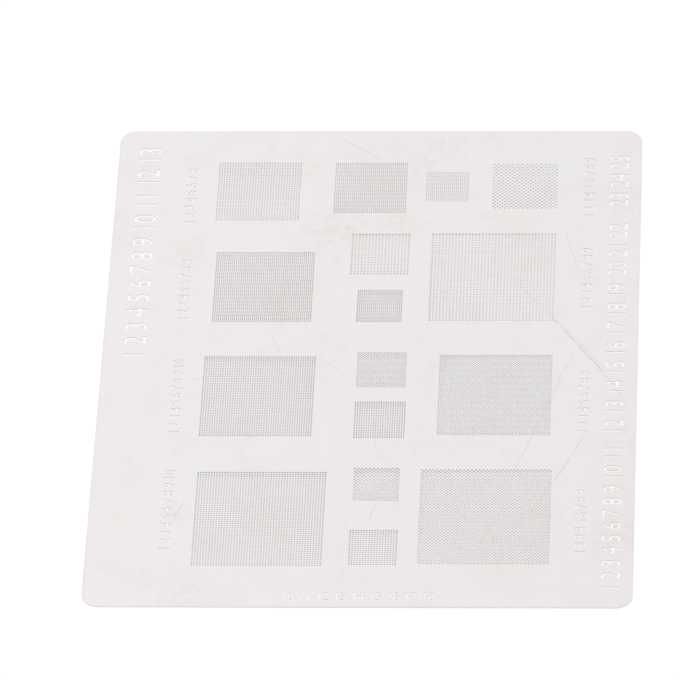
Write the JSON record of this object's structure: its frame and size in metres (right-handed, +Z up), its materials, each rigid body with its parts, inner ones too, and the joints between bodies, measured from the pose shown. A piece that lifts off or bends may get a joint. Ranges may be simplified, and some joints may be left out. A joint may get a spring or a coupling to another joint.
{
  "type": "solder paste stencil",
  "caption": "Flat rectangular stainless foil stencil with rounded corners and fields of fine round apertures in parallel and diagonal lattices.",
  "frame": {"origin": "middle of the underside, on the surface that the sheet lies on", "axes": "+Z up through the foil's thickness, +Y along its long side, +X along its short side"},
  "size_m": [0.08, 0.1, 0.0001],
  "materials": {
    "foil": "satin rolled stainless foil with light scuffs"
  },
  "bodies": {
    "root": {"stencil_sheet": "foil"}
  },
  "joints": []
}
